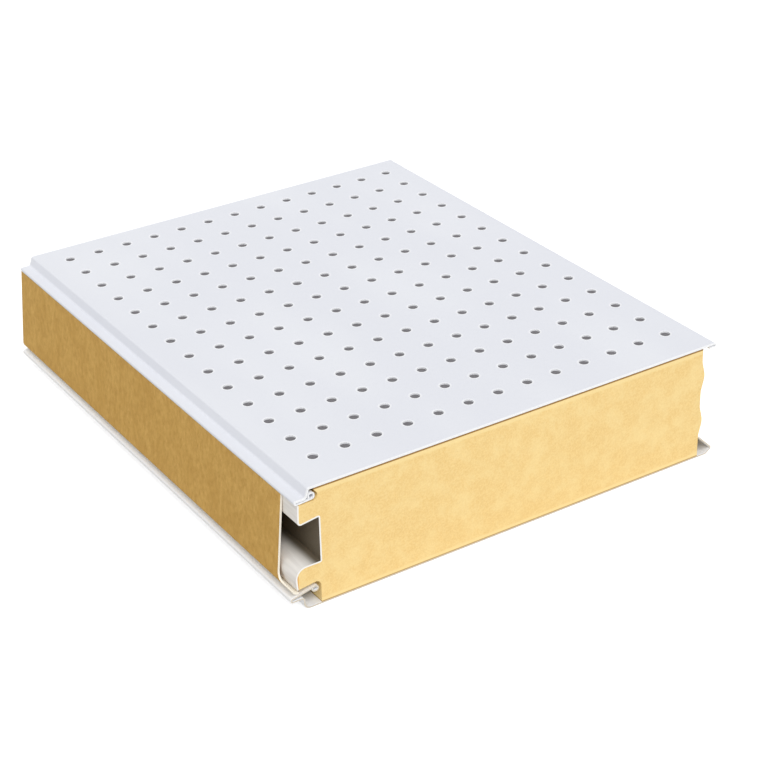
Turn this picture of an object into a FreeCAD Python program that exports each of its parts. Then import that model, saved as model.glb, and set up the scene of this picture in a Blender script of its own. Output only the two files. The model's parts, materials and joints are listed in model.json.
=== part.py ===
"""Insulated sandwich panel: a sawn sample of a sheet-faced panel with a perforated top sheet.

The panel lies flat: X runs across it, Y along it and Z up, with the origin at the middle of its underside.
Every section is drawn across the panel, in X and Z, and runs the whole length of the sample.
"""
import FreeCAD, Part
import Sketcher
import math
import os

from FreeCAD import Placement, Rotation, Vector

# alias, size in millimetres or a count, what it is
SIZES = [
    ("sample_length", 233, "length of the sample along the panel"),
    ("cover_width", 193, "width of the top sheet, over both its edges"),
    ("thickness", 50, "thickness of the panel over both sheets"),
    ("sheet", 0.6, "thickness of both steel sheets"),
    ("fleece", 0.5, "thickness of the fleece behind the perforation"),
    ("lining", 0.6, "thickness of the lining of the joint groove"),
    ("strip", 0.8, "thickness of the strip that closes the joint side"),
    ("bottom_reach", 3.4, "how far the bottom sheet stands out past the top sheet on the joint side"),
    ("toe_reach", 1, "how far the bottom sheet stands out past the top sheet at its far edge"),
    ("hole_diameter", 4, "perforation"),
    ("facet_step", 0.01, "how far a faceted hole's corners stay inside a round hole's radius"),
    ("hole_columns", 13, "holes across the panel"),
    ("hole_rows", 14, "holes along the panel"),
    ("column_pitch", 13.6, "hole to hole across the panel"),
    ("row_pitch", 15.6, "hole to hole along the panel"),
    ("first_column", 18.4, "from the ledge's edge to the first column of holes"),
    ("first_row", 17.6, "from the near sawn end to the first row of holes"),
    ("ledge_drop", 3.8, "how far the ledge lies under the top face"),
    ("ledge_width", 4.4, "ledge, from its edge to the foot of the step"),
    ("step_run", 1.3, "width of the sloped step between the ledge and the top face"),
    ("step_bend", 0.9, "outer radius of the step's two bends"),
    ("hem_height", 1.7, "height over a folded hem"),
    ("hem_bend", 0.8, "outer radius of a hem's bends"),
    ("hem_rise", 0.6, "how far the top sheet's hem climbs to its curl"),
    ("curl_size", 2.8, "outer size of the curl that ends a hem"),
    ("curl_bend", 1.1, "outer radius of a curl's bends"),
    ("curl_inset", 8.3, "from the ledge's edge to the far side of its curl"),
    ("curl_opening", 0.7, "gap that a curl leaves open"),
    ("edge_hem", 3.6, "length of the top sheet's hem at its far edge"),
    ("curl_room", 1.1, "room between a curl and the core beside it"),
    ("pocket_overhang", 1.6, "how far the core reaches back over the top sheet's curl"),
    ("pocket_bend", 2.2, "radius of that pocket"),
    ("bottom_ledge", 4.8, "height of the bottom sheet's ledge over the floor"),
    ("bottom_hem_rise", 2.5, "how far the bottom sheet's hem climbs to its curl"),
    ("bottom_curl_opening", 1.45, "gap that the bottom sheet's curl leaves open"),
    ("bottom_step", 5.3, "from the bottom ledge's edge to its step"),
    ("bottom_bend", 2.8, "outer radius of the bottom step"),
    ("toe_run", 3.2, "width of the turned-up toe at the bottom sheet's far edge"),
    ("toe_rise", 2.2, "height of that toe's edge"),
    ("toe_return", 9.4, "height that the toe's return reaches on the core"),
    ("toe_bend", 1.0, "outer radius of the toe's fold"),
    ("core_setback", 6.8, "from the top sheet's far edge to the core"),
    ("core_wave", 1.7, "how far the two soft ribs of the core's far edge stand out"),
    ("rib_height_low", 16.8, "height of the lower rib"),
    ("rib_height_high", 37, "height of the upper rib"),
    ("rib_half", 6.5, "half the height of a rib"),
    ("rib_bend", 8, "radius of the ribs and of the hollows beside them"),
    ("lip_clearance", 0.3, "gap between the hem and the core's upper lip"),
    ("lip_height", 7.8, "height of the face of the upper lip"),
    ("lip_lean", 0.25, "how far the face of the upper lip leans out towards its tip"),
    ("lip_tip_bend", 0.8, "radius of the upper lip's tip"),
    ("ceiling_rise", 1.2, "how far the groove's ceiling climbs towards its back wall"),
    ("groove_depth", 10.2, "from the ledge's edge to the groove's back wall in the core"),
    ("groove_bend", 0.9, "radius in the groove's corners"),
    ("floor_height", 17.7, "height of the groove's floor in the core"),
    ("nose_clearance", 1.1, "how far the lined lower lip stays behind the strip's foot"),
    ("nose_bend", 3.9, "radius of the lower lip's round top"),
    ("nose_tuck", 0.6, "how far the lower lip draws back towards its underside"),
    ("nose_bottom", 9.4, "height of the lower lip's underside"),
    ("strip_top_inset", 0.3, "from the ledge's edge to the strip's outer face at its top"),
    ("strip_lean", 3.4, "how far the strip stands further out at its foot"),
    ("strip_foot", 7.8, "height of the strip's foot"),
    ("strip_foot_bend", 2.6, "outer radius of the strip's foot"),
    ("strip_foot_width", 3.0, "how far the strip's foot turns in under the lower lip"),
    ("window_length", 10, "how far the strip is cut back at the near sawn end"),
    ("window_sill", 9.3, "height of the cut-back's lower edge"),
    ("window_bend", 4, "radius of the cut-back's lower corner"),
    ("no_height", 0, "the floor that the panel lies on"),
]

ACROSS = Rotation(Vector(1, 0, 0), 90)  # a sketch's own x and y become the panel's X and Z
ALONG = Rotation(Vector(1, 1, 1), 120)  # a sketch's own x and y become Y and Z

doc = FreeCAD.newDocument("SandwichPanel")
sizes = doc.addObject("Spreadsheet::Sheet", "Sizes")
for line, (alias, size, meaning) in enumerate(SIZES, 1):
    sizes.set(f"A{line}", meaning)
    sizes.set(f"B{line}", str(size))
    sizes.setAlias(f"B{line}", alias)
doc.recompute()


def amount(total):
    """The value of a sum of sizes, such as "- cover_width/2 + ledge_width"."""
    value, sign = 0.0, 1
    for word in total.split():
        if word in "+-":
            sign = 1 if word == "+" else -1
            continue
        alias, _, divisor = word.partition("/")
        alias, _, factor = alias.partition("*")
        value += sign * float(getattr(sizes, alias)) * float(factor or 1) / float(divisor or 1)
        sign = 1
    return value


def expression(total):
    """The same sum as an expression on the spreadsheet's cells."""
    return " ".join(word if word in "+-" else "Sizes." + word for word in total.split())


def constrain(sketch, kind, *terms, size=None):
    """Add a constraint, and bind it to a sum of sizes if it is a dimension."""
    value = [] if size is None else [amount(size)]
    index = sketch.addConstraint(Sketcher.Constraint(kind, *terms, *value))
    if size is not None:
        sketch.setExpression(f"Constraints[{index}]", expression(size))


def pin(sketch, geometry, point, corner):
    """Hold a point of the sketch at the corner's two distances from the origin."""
    constrain(sketch, "DistanceX", -1, 1, geometry, point, size=corner[0])
    constrain(sketch, "DistanceY", -1, 1, geometry, point, size=corner[1])


def bend_arc(before, corner, after, radius):
    """The arc that rounds a corner, and whether it turns left on the way through."""
    to_before = (before - corner).normalize()
    to_after = (after - corner).normalize()
    half = to_before.getAngle(to_after) / 2
    reach = radius / math.tan(half)
    start, end = corner + to_before * reach, corner + to_after * reach
    centre = corner + (to_before + to_after).normalize() * (radius / math.sin(half))
    middle = centre + (corner - centre).normalize() * radius
    turns_left = to_before.cross(to_after).z < 0
    return Part.Arc(start, middle, end), start, end, turns_left


def draw(sketch, corners, closed):
    """Draw a line through the corners, with an arc at each corner that has a bend radius.

    A corner is the X and Z of its sharp point, as sums of sizes, and the alias of its radius, or None.
    """
    points = [Vector(amount(c[0]), amount(c[1]), 0) for c in corners]
    count = len(corners)
    starts, ends, arcs = list(points), list(points), {}
    for i, corner in enumerate(corners):
        if corner[2]:
            arc, ends[i], starts[i], turns_left = bend_arc(
                points[i - 1], points[i], points[(i + 1) % count], amount(corner[2])
            )
            arcs[i] = (arc, turns_left)
    spans = count if closed else count - 1
    lines = [
        sketch.addGeometry(Part.LineSegment(starts[i], ends[(i + 1) % count]), False)
        for i in range(spans)
    ]
    for i, corner in enumerate(corners):
        into, out = (lines[i - 1] if i or closed else None), (lines[i] if i < spans else None)
        if i not in arcs:
            if into is not None and out is not None:
                constrain(sketch, "Coincident", into, 2, out, 1)
            pin(sketch, *((out, 1) if out is not None else (into, 2)), corner)
            continue
        arc, turns_left = arcs[i]
        bend = sketch.addGeometry(arc, False)
        first, last = (1, 2) if turns_left else (2, 1)
        constrain(sketch, "Tangent", into, 2, bend, first)
        constrain(sketch, "Tangent", out, 1, bend, last)
        constrain(sketch, "Radius", bend, size=corner[2])
        apex = sketch.addGeometry(Part.Point(points[i]), True)
        pin(sketch, apex, 1, corner)
        constrain(sketch, "PointOnObject", apex, 1, into)
        constrain(sketch, "PointOnObject", apex, 1, out)


def sketch_across(name, corners, closed=False, turned=ACROSS):
    """A sketch of a section across the panel, or along it when turned that way."""
    sketch = doc.addObject("Sketcher::SketchObject", name)
    sketch.Placement = Placement(Vector(), turned)
    draw(sketch, corners, closed)
    return sketch


def extrude(name, section, direction, length):
    """A section drawn out both ways from its plane, to a length of one size of the sheet."""
    solid = doc.addObject("Part::Extrusion", name)
    solid.Base = section
    solid.DirMode = "Custom"
    solid.Dir = direction
    solid.Solid = True
    solid.Symmetric = True
    solid.setExpression("LengthFwd", expression(length))
    return solid


def folded(name, corners, thickness):
    """A sheet of one thickness, folded along the corners and as long as the sample.

    The corners lie on one face of it, and its thickness lies to the left of the way they run, or to the
    right if it is negative.
    """
    line = sketch_across(name + "_line", corners)
    section = doc.addObject("Part::Offset2D", name + "_section")
    section.Source = line
    section.Mode = "Skin"
    section.Join = "Arc"
    section.Fill = True
    section.setExpression("Value", expression(thickness))
    return extrude(name, section, Vector(0, 1, 0), "sample_length")


# ---- places that several pieces share, as sums of sizes -------------------------------------------
EDGE = "- cover_width/2 + bottom_reach/2 - toe_reach/2"  # the ledge's edge, on the joint side
FAR = "cover_width/2 + bottom_reach/2 - toe_reach/2"  # the top sheet's far edge
LEDGE = "thickness - ledge_drop"  # top of the ledge
HEM = LEDGE + " - hem_height"  # underside of the hem that is folded back under the ledge
BOTTOM_EDGE = EDGE + " - bottom_reach"
CURL_FAR = EDGE + " + curl_inset"
STRIP_TOP = EDGE + " + strip_top_inset"  # the strip's outer face under the ledge
STRIP_FOOT = STRIP_TOP + " - strip_lean"  # the same face at its foot


def top_sheet_line():
    """From the far edge's hem over the top face, down the step, round the ledge and into the curl."""
    step_top = EDGE + " + ledge_width + step_run"
    curl_foot = HEM + " + hem_rise"
    return [
        (FAR + " - edge_hem", "thickness - hem_height", None),
        (FAR, "thickness - hem_height", "hem_bend"),
        (FAR, "thickness", "hem_bend"),
        (step_top, "thickness", "step_bend"),
        (EDGE + " + ledge_width", LEDGE, "step_bend"),
        (EDGE, LEDGE, "hem_bend"),
        (EDGE, HEM, "hem_bend"),
        (CURL_FAR, curl_foot, "curl_bend"),
        (CURL_FAR, curl_foot + " + curl_size", "curl_bend"),
        (CURL_FAR + " - curl_size", curl_foot + " + curl_size", "curl_bend"),
        (CURL_FAR + " - curl_size", curl_foot + " + curl_opening", None),
    ]


def bottom_sheet_line():
    """From the curl over the hem, round the ledge's edge, down the step, along the floor and up the toe."""
    hem_top = "bottom_ledge + hem_height"
    curl_top = hem_top + " + bottom_hem_rise"
    toe = FAR + " + toe_reach"
    return [
        (CURL_FAR + " - curl_size", curl_top + " - bottom_curl_opening", None),
        (CURL_FAR + " - curl_size", curl_top + " - curl_size", "curl_bend"),
        (CURL_FAR, curl_top + " - curl_size", "curl_bend"),
        (CURL_FAR, curl_top, "curl_bend"),
        (BOTTOM_EDGE, hem_top, "hem_bend"),
        (BOTTOM_EDGE, "bottom_ledge", "hem_bend"),
        (BOTTOM_EDGE + " + bottom_step", "bottom_ledge", "hem_bend"),
        (BOTTOM_EDGE + " + bottom_step", "no_height", "bottom_bend"),
        (toe + " - toe_run", "no_height", "toe_bend"),
        (toe, "toe_rise", "toe_bend"),
        (FAR + " - core_setback + sheet", "toe_return", None),
    ]


def groove_corners():
    """The core's joint side, from the top of its upper lip, through the groove, to under its lower lip."""
    lip_top = HEM + " - lip_clearance"
    lip_tip = lip_top + " - lip_height"
    lip = STRIP_TOP + " + strip + lining"
    back = EDGE + " + groove_depth"
    nose = STRIP_FOOT + " + strip + lining + nose_clearance"
    return [
        (lip, lip_top, None),
        (lip + " - lip_lean", lip_tip, "lip_tip_bend"),
        (back, lip_tip + " + ceiling_rise", "groove_bend"),
        (back, "floor_height", "groove_bend"),
        (nose, "floor_height", "nose_bend"),
        (nose + " + nose_tuck", "nose_bottom", None),
    ]


def core_outline():
    """The core's whole section: the joint side, the underside, the far edge's two soft ribs and the top."""
    underside, top = "sheet", "thickness - sheet - fleece"
    pocket = CURL_FAR + " + curl_room"
    lip_top = HEM + " - lip_clearance"
    far_edge = FAR + " - core_setback"
    rib = far_edge + " + core_wave"
    return groove_corners() + [
        (pocket, "nose_bottom + ceiling_rise", "pocket_bend"),
        (pocket, underside, None),
        (far_edge, underside, None),
        (far_edge, "rib_height_low - rib_half", "rib_bend"),
        (rib, "rib_height_low", "rib_bend"),
        (far_edge, "rib_height_low + rib_half", "rib_bend"),
        (far_edge, "rib_height_high - rib_half", "rib_bend"),
        (rib, "rib_height_high", "rib_bend"),
        (far_edge, "rib_height_high + rib_half", "rib_bend"),
        (far_edge, top, None),
        (pocket + " - pocket_overhang", top, None),
        (pocket, lip_top + " + curl_size", "groove_bend"),
        (pocket, lip_top, "pocket_bend"),
    ]


def strip_line():
    """From under the ledge, down past the groove's mouth, to the foot that turns in."""
    return [
        (STRIP_TOP, HEM, None),
        (STRIP_FOOT, "strip_foot", "strip_foot_bend"),
        (STRIP_FOOT + " + strip_foot_width", "strip_foot", None),
    ]


def window_outline():
    """The cut-back at the strip's near end, in Y and Z, with one round corner."""
    near = "- sample_length/2"
    return [
        (near + " - window_length", "window_sill", None),
        (near + " + window_length", "window_sill", "window_bend"),
        (near + " + window_length", "thickness", None),
        (near + " - window_length", "thickness", None),
    ]


ROUND_RINGS = (0, 3, 5)  # steps in from the grid's four corner holes to the corners that are drawn round
FACETS = 14  # sides of the other holes
FACET_RADIUS = "hole_diameter/2 - facet_step"  # circle through their corners


def hole_sketch(body, plane, name, ring):
    """A sketch on the top face with the centre of one hole, some steps of the grid in from its corner."""
    sketch = body.newObject("Sketcher::SketchObject", name)
    sketch.AttachmentSupport = [(plane, "")]
    sketch.MapMode = "FlatFace"
    sketch.setExpression("AttachmentOffset.Base.z", expression("thickness"))
    place = (
        EDGE + f" + first_column + column_pitch*{ring}",
        f"- sample_length/2 + first_row + row_pitch*{ring}",
    )
    return sketch, place, Vector(amount(place[0]), amount(place[1]), 0)


def draw_round(sketch, place, centre):
    """One round hole."""
    circle = Part.Circle(centre, Vector(0, 0, 1), amount("hole_diameter/2"))
    hole = sketch.addGeometry(circle, False)
    pin(sketch, hole, 3, place)
    constrain(sketch, "Diameter", hole, size="hole_diameter")


def draw_faceted(sketch, place, centre):
    """One hole with equal flat sides, whose corners lie on a circle."""
    radius = amount(FACET_RADIUS)
    guide = sketch.addGeometry(Part.Circle(centre, Vector(0, 0, 1), radius), True)
    pin(sketch, guide, 3, place)
    constrain(sketch, "Radius", guide, size=FACET_RADIUS)
    turns = [2 * math.pi * i / FACETS for i in range(FACETS)]
    corners = [centre + Vector(math.cos(turn), math.sin(turn), 0) * radius for turn in turns]
    sides = [
        sketch.addGeometry(Part.LineSegment(corners[i - 1], corners[i]), False) for i in range(FACETS)
    ]
    for i, side in enumerate(sides):
        constrain(sketch, "Coincident", sides[i - 1], 2, side, 1)
        constrain(sketch, "PointOnObject", side, 1, guide)
        if i:
            constrain(sketch, "Equal", sides[0], side)
    constrain(sketch, "Horizontal", guide, 3, sides[0], 2)


def punch(body, planes, sketch, name, columns, rows):
    """Cut the sketch's hole through the sheet and repeat it: columns and rows are counts and pitches."""
    doc.recompute()
    hole = body.newObject("PartDesign::Pocket", name)
    hole.Profile = sketch
    hole.Type = "Length"
    hole.Refine = False
    hole.setExpression("Length", expression("hem_height - sheet"))
    doc.recompute()
    pattern = body.newObject("PartDesign::MultiTransform", name + "_grid")
    for axis, (count, pitch) in (("X_Axis", columns), ("Y_Axis", rows)):
        repeat = body.newObject("PartDesign::LinearPattern", name + "_" + axis[0].lower())
        repeat.Direction = (planes[axis], [""])
        repeat.Mode = "Spacing"
        repeat.setExpression("Offset", pitch)
        repeat.setExpression("Occurrences", count)
        pattern.Transformations = pattern.Transformations + [repeat]
    pattern.Originals = [hole]
    pattern.Refine = False
    body.Tip = pattern
    doc.recompute()


def make_top_sheet():
    """The perforated sheet: a grid of faceted holes, of which the corners of three rings are round."""
    blank = folded("top_blank", top_sheet_line(), "sheet")
    body = doc.addObject("PartDesign::Body", "top_body")
    body.Label = "top_sheet"
    body.BaseFeature = blank
    doc.recompute()
    planes = {plane.Role: plane for plane in body.Origin.OriginFeatures}
    for ring in ROUND_RINGS:
        sketch, place, centre = hole_sketch(body, planes["XY_Plane"], f"round_hole_{ring}_line", ring)
        draw_round(sketch, place, centre)
        columns = ("2", f"Sizes.column_pitch * (Sizes.hole_columns - 1 - 2 * {ring})")
        rows = ("2", f"Sizes.row_pitch * (Sizes.hole_rows - 1 - 2 * {ring})")
        punch(body, planes, sketch, f"round_hole_{ring}", columns, rows)
    sketch, place, centre = hole_sketch(body, planes["XY_Plane"], "faceted_hole_line", 0)
    draw_faceted(sketch, place, centre)
    columns = ("Sizes.hole_columns", "Sizes.column_pitch")
    rows = ("Sizes.hole_rows", "Sizes.row_pitch")
    punch(body, planes, sketch, "faceted_hole", columns, rows)
    check_perforation(blank.Shape.Volume - body.Shape.Volume)
    return body


def check_perforation(removed):
    """Stop if the holes don't remove what the sizes say."""
    round_area = math.pi * amount("hole_diameter/2") ** 2
    faceted_area = FACETS / 2 * math.sin(2 * math.pi / FACETS) * amount(FACET_RADIUS) ** 2
    round_count = 4 * len(ROUND_RINGS)
    faceted_count = amount("hole_columns") * amount("hole_rows") - round_count
    expected = amount("sheet") * (round_count * round_area + faceted_count * faceted_area)
    if abs(removed - expected) > 0.001 * expected:
        raise RuntimeError(f"the perforation removes {removed:.1f} mm3, not {expected:.1f}")


def make_core():
    """The core, padded both ways from its section."""
    body = doc.addObject("PartDesign::Body", "core_body")
    body.Label = "insulation_core"
    planes = {plane.Role: plane for plane in body.Origin.OriginFeatures}
    sketch = body.newObject("Sketcher::SketchObject", "core_section")
    sketch.AttachmentSupport = [(planes["XZ_Plane"], "")]
    sketch.MapMode = "FlatFace"
    draw(sketch, core_outline(), closed=True)
    pad = body.newObject("PartDesign::Pad", "core_length")
    pad.Profile = sketch
    pad.SideType = "Symmetric"
    pad.setExpression("Length", expression("sample_length"))
    body.Tip = pad
    return body


def make_edge_strip():
    """The strip along the joint side, cut back at its near end to leave the groove open to view."""
    whole = folded("strip", strip_line(), "strip")
    outline = sketch_across("window_outline", window_outline(), closed=True, turned=ALONG)
    window = extrude("window", outline, Vector(1, 0, 0), "cover_width + groove_depth")
    cut = doc.addObject("Part::Cut", "strip_cut")
    cut.Label = "edge_strip"
    cut.Base = whole
    cut.Tool = window
    return cut


def make_fleece():
    """The thin fleece between the perforated sheet and the core."""
    box = doc.addObject("Part::Box", "fleece_box")
    box.Label = "acoustic_fleece"
    left = CURL_FAR + " + curl_room - pocket_overhang"
    box.setExpression("Width", expression("sample_length"))
    box.setExpression("Height", expression("fleece"))
    box.setExpression("Length", expression("cover_width - core_setback - curl_inset - curl_room + pocket_overhang"))
    box.setExpression("Placement.Base.x", expression(left))
    box.setExpression("Placement.Base.y", expression("- sample_length/2"))
    box.setExpression("Placement.Base.z", expression("thickness - sheet - fleece"))
    return box


def make_bottom_sheet():
    """The plain bottom sheet, with its ledge, step and curl on one side and its toe on the other."""
    solid = folded("bottom", bottom_sheet_line(), "sheet")
    solid.Label = "bottom_sheet"
    return solid


def make_lining():
    """The lining that follows the groove and both lips, outside the core."""
    solid = folded("lining", groove_corners(), "- lining")
    solid.Label = "groove_lining"
    return solid


pieces = [make_top_sheet(), make_fleece(), make_core(), make_lining(), make_edge_strip(), make_bottom_sheet()]
doc.recompute()

for item in doc.Objects:
    if "Invalid" in item.State or "Error" in item.State:
        raise RuntimeError(f"{item.Label} can't be computed: {item.State}")
for piece in pieces:
    if piece.Shape.isNull() or not piece.Shape.isValid() or len(piece.Shape.Solids) != 1:
        raise RuntimeError(f"{piece.Label} isn't one valid solid")

os.makedirs("parts", exist_ok=True)
for piece in pieces:
    piece.Shape.exportStep(os.path.join("parts", piece.Label + ".step"))
    print(piece.Label, round(piece.Shape.Volume, 1), "mm3")
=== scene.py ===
"""Looks for the insulated sandwich panel: paint, foam, strip, lining, fleece, studio light and camera.

All six CAD pieces keep their shape and get a procedural material each. No piece is added.
Sizes in a material are in millimetres, and colours are 0 to 255, as displayed.
"""
import json
import math

import bpy
from mathutils import Matrix, Vector


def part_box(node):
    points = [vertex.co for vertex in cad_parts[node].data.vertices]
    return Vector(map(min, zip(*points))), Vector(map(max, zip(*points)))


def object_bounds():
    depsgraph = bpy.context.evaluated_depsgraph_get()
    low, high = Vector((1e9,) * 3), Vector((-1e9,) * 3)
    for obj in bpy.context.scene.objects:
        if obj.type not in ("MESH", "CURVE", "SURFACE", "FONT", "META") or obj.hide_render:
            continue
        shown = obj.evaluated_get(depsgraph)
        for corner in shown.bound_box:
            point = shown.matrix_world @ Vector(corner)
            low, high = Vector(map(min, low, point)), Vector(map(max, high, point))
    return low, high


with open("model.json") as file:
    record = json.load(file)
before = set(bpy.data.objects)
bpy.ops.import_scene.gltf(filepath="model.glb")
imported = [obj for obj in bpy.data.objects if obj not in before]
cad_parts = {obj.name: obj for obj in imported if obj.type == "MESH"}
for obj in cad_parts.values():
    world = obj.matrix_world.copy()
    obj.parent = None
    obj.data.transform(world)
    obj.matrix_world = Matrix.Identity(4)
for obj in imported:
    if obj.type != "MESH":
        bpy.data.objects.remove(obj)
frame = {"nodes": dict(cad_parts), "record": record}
CAD_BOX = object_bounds()
MM = 0.001

# ---- camera ---------------------------------------------------------------------------------------
CAMERA_AZIMUTH = -32.335  # degrees; 0 looks along +Y
CAMERA_ELEVATION = 28.866
CAMERA_ROLL = -1.474
CAMERA_DISTANCE = 0.7953
CAMERA_TARGET = Vector((-2.77, -30.59, 25)) * MM
CAMERA_LENS = 91.68  # on a 36 mm wide sensor

# ---- places in the object, in millimetres -----------------------------------------------------------
SAWN_END = CAD_BOX[1][1] / MM - 0.02  # past this distance from the middle a face is a sawn end
TOP_FACE = CAD_BOX[1][2] / MM
CORE_BOTTOM, CORE_TOP = (corner.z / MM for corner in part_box("insulation_core"))
LIP_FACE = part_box("insulation_core")[0].x / MM  # the outer face of the joint's lips
STRIP_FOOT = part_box("edge_strip")[0].z / MM
DENSE_SKIN = 1.3  # the foam next to a sheet is denser and lighter
GROOVE_DEPTH = 10  # from the lips to the back wall of the joint

# The perforation's corner holes are a bolt pattern of the record, and the grid is worked out from it.
CORNER_HOLES = next(m for m in frame["record"]["mounts"] if m["name"] == "perforation_outer")
HOLE_RADIUS = CORNER_HOLES["dims"]["hole_r_mm"]
HOLE_COUNT = (13, 14)
HOLE_PITCH = (
    CORNER_HOLES["dims"]["spacing_x_mm"] / (HOLE_COUNT[0] - 1),
    CORNER_HOLES["dims"]["spacing_y_mm"] / (HOLE_COUNT[1] - 1),
)
GRID_MIDDLE = [place / MM for place in CORNER_HOLES["pos_m"][:2]]
# The lighter rim around each hole is a painted highlight.
HOLE_RIM = 1  # how far from its edge a hole's rim is lighter

FLOOR_HALF = 6  # metres
FLOOR_GAP = 0.2  # the floor lies this far under the panel, so their faces don't coincide
FLOOR_GREY = (0.8, 0.8, 0.8, 1)
FLOOR_LIFT = (0.56, 0.56, 0.56, 1)  # what the camera sees on top of the lit grey, to make it white


def add_camera():
    """The camera, above and in front of the corner with the joint."""
    data = bpy.data.cameras.new("camera")
    data.lens = CAMERA_LENS
    data.sensor_width = 36
    data.clip_start = 0.01
    camera = bpy.data.objects.new("camera", data)
    bpy.context.scene.collection.objects.link(camera)
    azimuth, elevation = math.radians(CAMERA_AZIMUTH), math.radians(CAMERA_ELEVATION)
    back = Vector(
        (
            math.sin(azimuth) * math.cos(elevation),
            -math.cos(azimuth) * math.cos(elevation),
            math.sin(elevation),
        )
    )
    turn = back.to_track_quat("Z", "Y").to_matrix().to_4x4()
    roll = Matrix.Rotation(math.radians(CAMERA_ROLL), 4, "Z")
    camera.matrix_world = Matrix.Translation(CAMERA_TARGET + back * CAMERA_DISTANCE) @ turn @ roll
    bpy.context.scene.camera = camera


# ---- materials ------------------------------------------------------------------------------------
def srgb(red, green, blue):
    """A display colour, 0 to 255, as the linear colour that a shader takes."""
    def linear(value):
        value /= 255
        return value / 12.92 if value <= 0.04045 else ((value + 0.055) / 1.055) ** 2.4

    return (linear(red), linear(green), linear(blue), 1)


class Material:
    """A Principled material on one CAD node, with short ways to add the nodes that give it detail."""

    def __init__(self, node, name, specular=0.5):
        self.material = bpy.data.materials.new(name)
        self.material.use_nodes = True
        self.tree = self.material.node_tree
        self.shader = self.tree.nodes["Principled BSDF"]
        self.shader.inputs["Specular IOR Level"].default_value = specular
        self.coordinate = self.add("TexCoord").outputs["Object"]
        slots = frame["nodes"][node].data.materials
        slots.clear()
        slots.append(self.material)

    def add(self, kind, inputs=None, **settings):
        """A new node. Inputs are numbers, colours or another node's output, by name or by index."""
        made = self.tree.nodes.new("ShaderNode" + kind)
        for name, value in settings.items():
            setattr(made, name, value)
        for key, value in (inputs or {}).items():
            if isinstance(value, bpy.types.NodeSocket):
                self.tree.links.new(value, made.inputs[key])
            else:
                made.inputs[key].default_value = value
        return made

    def math(self, operation, first, second=0.0):
        """One step of arithmetic on numbers or outputs."""
        return self.add("Math", {0: first, 1: second}, operation=operation).outputs[0]

    def axis(self, name):
        """The place along X, Y or Z in millimetres."""
        part = self.add("SeparateXYZ", {0: self.coordinate}).outputs[name]
        return self.math("MULTIPLY", part, 1 / MM)

    def scaled(self, size, stretch):
        """The place in the object, counted in steps of this size in millimetres."""
        scale = [1 / MM / size / along for along in stretch]
        return self.add("Mapping", {"Vector": self.coordinate, "Scale": scale}).outputs[0]

    def noise(self, size, detail=2.0, roughness=0.5, stretch=(1, 1, 1)):
        """Noise with grains of about this size in millimetres, drawn out along each axis by stretch."""
        place = self.scaled(size, stretch)
        inputs = {"Vector": place, "Scale": 1.0, "Detail": detail, "Roughness": roughness}
        return self.add("TexNoise", inputs).outputs["Fac"]

    def cells(self, size):
        """Distance from the middle of the nearest of many cells of this size in millimetres."""
        place = self.scaled(size, (1, 1, 1))
        return self.add("TexVoronoi", {"Vector": place, "Scale": 1.0}).outputs["Distance"]

    def span(self, value, low, high, to_low=0.0, to_high=1.0):
        """A value between low and high, taken to a new range and held there."""
        inputs = {"Value": value, "From Min": low, "From Max": high, "To Min": to_low, "To Max": to_high}
        return self.add("MapRange", inputs, interpolation_type="SMOOTHSTEP").outputs[0]

    def mix(self, share, first, second):
        """The first colour, going over into the second."""
        return self.add("Mix", {0: share, 6: first, 7: second}, data_type="RGBA").outputs[2]

    def sawn(self):
        """1 on the two sawn ends, 0 elsewhere."""
        return self.math("GREATER_THAN", self.math("ABSOLUTE", self.axis("Y")), SAWN_END)

    def cut_edge(self):
        """1 on the cut edges of a sheet that stands upright across X, 0 on its two faces."""
        normal = self.add("NewGeometry").outputs["True Normal"]
        sideways = self.math("ABSOLUTE", self.add("SeparateXYZ", {0: normal}).outputs["X"])
        return self.math("LESS_THAN", sideways, 0.7)

    def hole_rim(self):
        """1 at the edge of a hole of the perforation, going down to 0 around it; 0 outside the grid."""
        squares = []
        inside = self.math("GREATER_THAN", self.axis("Z"), TOP_FACE - 1)
        for name, middle, count, pitch in zip("XY", GRID_MIDDLE, HOLE_COUNT, HOLE_PITCH):
            from_side = self.math("SUBTRACT", self.axis(name), middle - count * pitch / 2)
            away = self.math("SUBTRACT", self.math("FLOORED_MODULO", from_side, pitch), pitch / 2)
            squares.append(self.math("MULTIPLY", away, away))
            past = self.math("ABSOLUTE", self.math("SUBTRACT", self.axis(name), middle))
            inside = self.math("MULTIPLY", inside, self.math("LESS_THAN", past, count * pitch / 2))
        distance = self.math("SQRT", self.math("ADD", *squares))
        near = self.span(distance, HOLE_RADIUS, HOLE_RADIUS + HOLE_RIM, 1, 0)
        return self.math("MULTIPLY", near, inside)

    def bump(self, height, depth):
        """Relief of this depth in millimetres."""
        inputs = {"Height": height, "Distance": depth * MM, "Strength": 1.0}
        self.tree.links.new(self.add("Bump", inputs).outputs[0], self.shader.inputs["Normal"])

    def finish(self, colour, roughness):
        """Give the shader its colour and its roughness."""
        self.tree.links.new(colour, self.shader.inputs["Base Color"])
        self.tree.links.new(roughness, self.shader.inputs["Roughness"])


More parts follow.
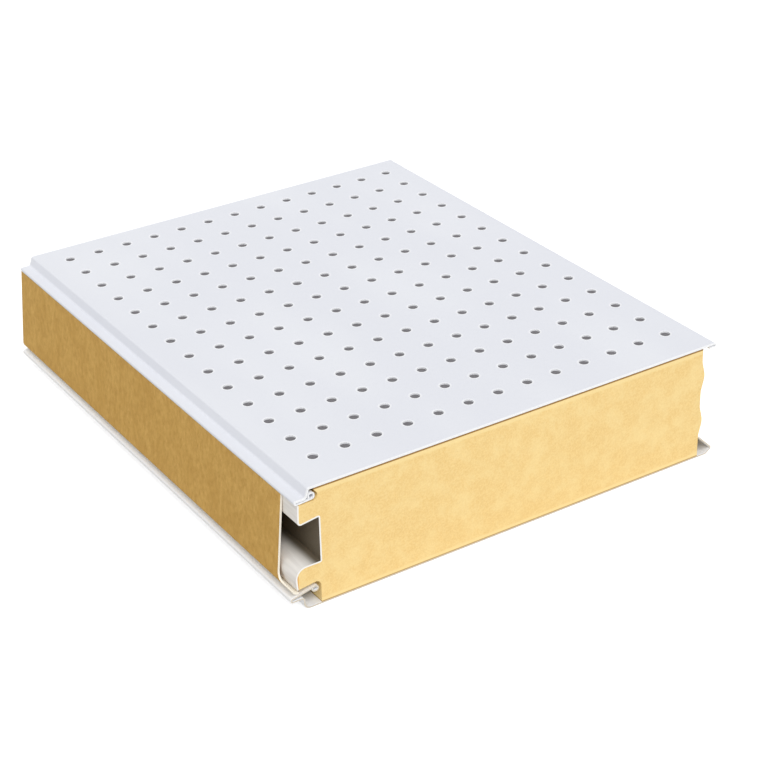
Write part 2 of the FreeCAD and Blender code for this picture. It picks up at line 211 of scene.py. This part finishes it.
def coated_steel(node, name, colour, faded, highlight_colour, metal_light, metal_dark, perforated=False):
    """Coil-coated steel sheet: smooth paint with a fine orange peel, and bare metal on its sawn edges.

    Along its sawn ends and around its holes the paint gets a painted highlight, and at a hole the sheet
    is drawn in a little.
    """
    steel = Material(node, name, specular=0.35)
    clouds = steel.noise(38, 2, stretch=(1, 3, 1))
    peel = steel.noise(1.1, 2)
    saw_marks = steel.noise(0.12, 2, stretch=(12, 1, 1))
    sawn = steel.sawn()
    paint = steel.mix(steel.span(clouds, 0.35, 0.7), srgb(*colour), srgb(*faded))
    metal = steel.mix(steel.span(saw_marks, 0.4, 0.65), srgb(*metal_light), srgb(*metal_dark))
    along = steel.math("ABSOLUTE", steel.axis("Y"))
    # painted highlight: a lighter band on the paint just inside each sawn end
    painted_highlight = steel.span(along, SAWN_END - 0.9, SAWN_END - 0.3)
    relief = steel.math("ADD", peel, steel.math("MULTIPLY", sawn, saw_marks))
    if perforated:
        hole = steel.hole_rim()
        # painted highlight around each hole as well
        painted_highlight = steel.math("MAXIMUM", painted_highlight, steel.math("MULTIPLY", hole, 0.75))
        relief = steel.math("SUBTRACT", relief, steel.math("MULTIPLY", hole, 4))
    paint = steel.mix(painted_highlight, paint, srgb(*highlight_colour))
    steel.bump(relief, 0.012)
    steel.finish(steel.mix(sawn, paint, metal), steel.span(peel, 0.3, 0.7, 0.36, 0.46))


def foam(node, name, colour, pale, deep, sheet_line_colour, skin_colour):
    """Rigid foam: fine closed cells and soft blotches.

    At the sheets it has a denser light skin and a thin dark line, and on the lips an orange skin.
    """
    block = Material(node, name, specular=0.2)
    grain = block.noise(0.75, 3, 0.6)
    blotch = block.noise(7, 3, 0.55)
    pores = block.cells(0.9)
    height = block.axis("Z")
    low = block.math("SUBTRACT", height, CORE_BOTTOM)
    high = block.math("SUBTRACT", CORE_TOP, height)
    from_sheet = block.math("MINIMUM", low, high)
    body = block.mix(block.span(grain, 0.3, 0.72), srgb(*deep), srgb(*colour))
    body = block.mix(block.span(blotch, 0.35, 0.75, 0, 0.55), body, srgb(*pale))
    body = block.mix(block.span(pores, 0.05, 0.32, 0.35, 0), body, srgb(*deep))
    body = block.mix(block.span(from_sheet, DENSE_SKIN, DENSE_SKIN + 1, 0.75, 0), body, srgb(*pale))
    # a thin dark line along the foam next to each sheet
    sheet_line = block.math("MAXIMUM", block.span(low, 0.3, 0.6, 0.8, 0), block.span(high, 0.1, 0.35, 0.8, 0))
    body = block.mix(sheet_line, body, srgb(*sheet_line_colour))
    lip_skin = block.span(block.axis("X"), LIP_FACE + 0.35, LIP_FACE + 0.6, 0.8, 0)
    body = block.mix(lip_skin, body, srgb(*skin_colour))
    block.bump(block.math("SUBTRACT", grain, block.span(pores, 0.0, 0.35, 0.6, 0)), 0.09)
    block.finish(body, block.span(grain, 0.3, 0.7, 0.72, 0.9))


def joint_strip(node, name, colour, light, dark, foot_shadow_colour, edge):
    """The strip over the joint: upright soft mottles, fine fibres, painted shade low down, a painted
    shadow at its foot, cream cut edges.
    """
    strip = Material(node, name, specular=0.2)
    mottle = strip.noise(2.1, 3, 0.6, stretch=(1, 1, 1.5))
    fibre = strip.noise(0.8, 2, 0.6, stretch=(1, 1, 1.6))
    blotch = strip.noise(11, 2, stretch=(1, 1, 1.5))
    height = strip.axis("Z")
    body = strip.mix(strip.span(mottle, 0.32, 0.68), srgb(*dark), srgb(*light))
    body = strip.mix(strip.span(fibre, 0.35, 0.65, 0.75, 0.15), body, srgb(*colour))
    body = strip.mix(strip.span(blotch, 0.35, 0.7, 0, 0.35), body, srgb(*dark))
    # painted shade: the strip goes darker towards its bottom, for the shaded band above the bottom ledge
    body = strip.mix(strip.span(height, 3, 14, 0.25, 0), body, srgb(*dark))
    # painted shadow: a dark line along the strip's foot, where it meets the bottom ledge
    foot_shadow = strip.span(height, STRIP_FOOT + 0.3, STRIP_FOOT + 0.9, 0.85, 0)
    body = strip.mix(foot_shadow, body, srgb(*foot_shadow_colour))
    strip.bump(strip.math("ADD", mottle, strip.math("MULTIPLY", fibre, 0.5)), 0.08)
    strip.finish(strip.mix(strip.cut_edge(), body, srgb(*edge)), strip.span(mottle, 0.3, 0.7, 0.7, 0.88))


def joint_lining(node, name, colour, shaded, edge):
    """The thin lining of the joint: satin foil, faintly creased along its length.

    It is light on the lips and its sawn edge; painted shade darkens it deep in the groove and a little
    along its creases.
    """
    lining = Material(node, name, specular=0.3)
    crease = lining.noise(1.6, 2, stretch=(1, 10, 1))
    grain = lining.noise(0.4, 2)
    inward = lining.math("SUBTRACT", lining.axis("X"), LIP_FACE)
    # painted shade: the lining darkens with depth into the groove, towards its back wall
    deep = lining.span(inward, GROOVE_DEPTH * 0.45, GROOVE_DEPTH * 0.9)
    body = lining.mix(deep, srgb(*colour), srgb(*shaded))
    # painted shade along the creases
    body = lining.mix(lining.span(crease, 0.35, 0.7, 0, 0.12), body, srgb(*shaded))
    lining.bump(lining.math("ADD", crease, lining.math("MULTIPLY", grain, 0.3)), 0.03)
    lining.finish(lining.mix(lining.sawn(), body, srgb(*edge)), lining.span(grain, 0.3, 0.7, 0.45, 0.6))


def fleece(node, name, colour, light, soaked):
    """Grey acoustic fleece: matted fibres, and brown on its sawn edges, where foam has soaked in."""
    mat = Material(node, name, specular=0.1)
    long_fibre = mat.noise(0.25, 3, 0.7, stretch=(1, 7, 1))
    cross_fibre = mat.noise(0.25, 3, 0.7, stretch=(7, 1, 1))
    tangle = mat.math("MAXIMUM", long_fibre, cross_fibre)
    body = mat.mix(mat.span(tangle, 0.5, 0.75), srgb(*colour), srgb(*light))
    mat.bump(tangle, 0.1)
    mat.finish(mat.mix(mat.sawn(), body, srgb(*soaked)), mat.span(tangle, 0.4, 0.7, 0.85, 0.95))


# ---- the studio -----------------------------------------------------------------------------------
def add_floor():
    """A plain pale floor that keeps the object's shadow; the camera sees the rest of it as white."""
    mesh = bpy.data.meshes.new("floor")
    corners = [(x * FLOOR_HALF, y * FLOOR_HALF, 0) for x, y in ((-1, -1), (1, -1), (1, 1), (-1, 1))]
    mesh.from_pydata(corners, [], [(0, 1, 2, 3)])
    floor = bpy.data.objects.new("floor", mesh)
    bpy.context.scene.collection.objects.link(floor)
    floor.location.z = -FLOOR_GAP * MM
    material = bpy.data.materials.new("floor")
    material.use_nodes = True
    tree = material.node_tree
    shader = tree.nodes["Principled BSDF"]
    shader.inputs["Base Color"].default_value = FLOOR_GREY
    shader.inputs["Roughness"].default_value = 0.9
    shader.inputs["Specular IOR Level"].default_value = 0
    emission = tree.nodes.new("ShaderNodeEmission")
    emission.inputs["Color"].default_value = FLOOR_LIFT
    light_path = tree.nodes.new("ShaderNodeLightPath")
    both = tree.nodes.new("ShaderNodeAddShader")
    tree.links.new(light_path.outputs["Is Camera Ray"], emission.inputs["Strength"])
    tree.links.new(shader.outputs[0], both.inputs[0])
    tree.links.new(emission.outputs[0], both.inputs[1])
    tree.links.new(both.outputs[0], tree.nodes["Material Output"].inputs["Surface"])
    mesh.materials.append(material)


def add_world(light):
    """A plain white surround that lights the object softly and looks white to the camera and in gloss."""
    world = bpy.data.worlds.new("world")
    bpy.context.scene.world = world
    world.use_nodes = True
    tree = world.node_tree
    background = tree.nodes["Background"]
    background.inputs["Color"].default_value = (1, 1, 1, 1)
    path = tree.nodes.new("ShaderNodeLightPath")
    seen = path.outputs["Is Camera Ray"]
    for other in ("Is Glossy Ray", "Is Transmission Ray"):
        either = tree.nodes.new("ShaderNodeMath")
        either.operation = "MAXIMUM"
        tree.links.new(seen, either.inputs[0])
        tree.links.new(path.outputs[other], either.inputs[1])
        seen = either.outputs[0]
    level = tree.nodes.new("ShaderNodeMapRange")
    level.inputs["To Min"].default_value = light
    level.inputs["To Max"].default_value = 1
    tree.links.new(seen, level.inputs["Value"])
    tree.links.new(level.outputs[0], background.inputs["Strength"])


def add_sun(name, towards, strength, angle):
    """A large soft lamp far away, in the direction towards, and this many degrees wide."""
    data = bpy.data.lights.new(name, "SUN")
    data.energy = strength
    data.angle = math.radians(angle)
    sun = bpy.data.objects.new(name, data)
    sun.rotation_euler = Vector(towards).to_track_quat("Z", "Y").to_euler()
    bpy.context.scene.collection.objects.link(sun)


add_camera()
coated_steel(
    "top_sheet",
    "top_paint",
    colour=(231, 233, 240),
    faded=(235, 237, 243),
    # painted highlight along the sawn ends and around the holes
    highlight_colour=(252, 253, 255),
    metal_light=(252, 253, 255),
    metal_dark=(238, 239, 241),
    perforated=True,
)
coated_steel(
    "bottom_sheet",
    "bottom_paint",
    colour=(246, 246, 246),
    faded=(243, 243, 244),
    # painted highlight along the sawn ends
    highlight_colour=(252, 253, 255),
    # The bottom sheet's sawn edge is darker and warmer than the top's: painted shade of the contact
    # shadow at the floor.
    metal_light=(224, 215, 200),
    metal_dark=(210, 201, 186),
)
foam(
    "insulation_core",
    "foam",
    colour=(250, 219, 152),
    pale=(254, 229, 166),
    deep=(240, 205, 136),
    sheet_line_colour=(168, 126, 66),
    skin_colour=(226, 158, 66),
)
joint_strip(
    "edge_strip",
    "foam_strip",
    colour=(209, 167, 90),
    light=(221, 179, 103),
    dark=(191, 147, 71),
    # painted shadow along the strip's foot
    foot_shadow_colour=(74, 52, 22),
    edge=(250, 243, 228),
)
joint_lining(
    "groove_lining",
    "lining",
    colour=(244, 240, 234),
    # the painted shade deep in the groove and in the creases
    shaded=(104, 94, 78),
    edge=(250, 249, 246),
)
fleece(
    "acoustic_fleece",
    "fleece",
    colour=(120, 118, 121),
    light=(146, 144, 148),
    soaked=(150, 112, 62),
)
add_floor()
add_world(light=0.58)
add_sun("key", towards=(-0.15, -0.62, 0.77), strength=1.6, angle=35)
bpy.context.scene.view_settings.view_transform = "Standard"
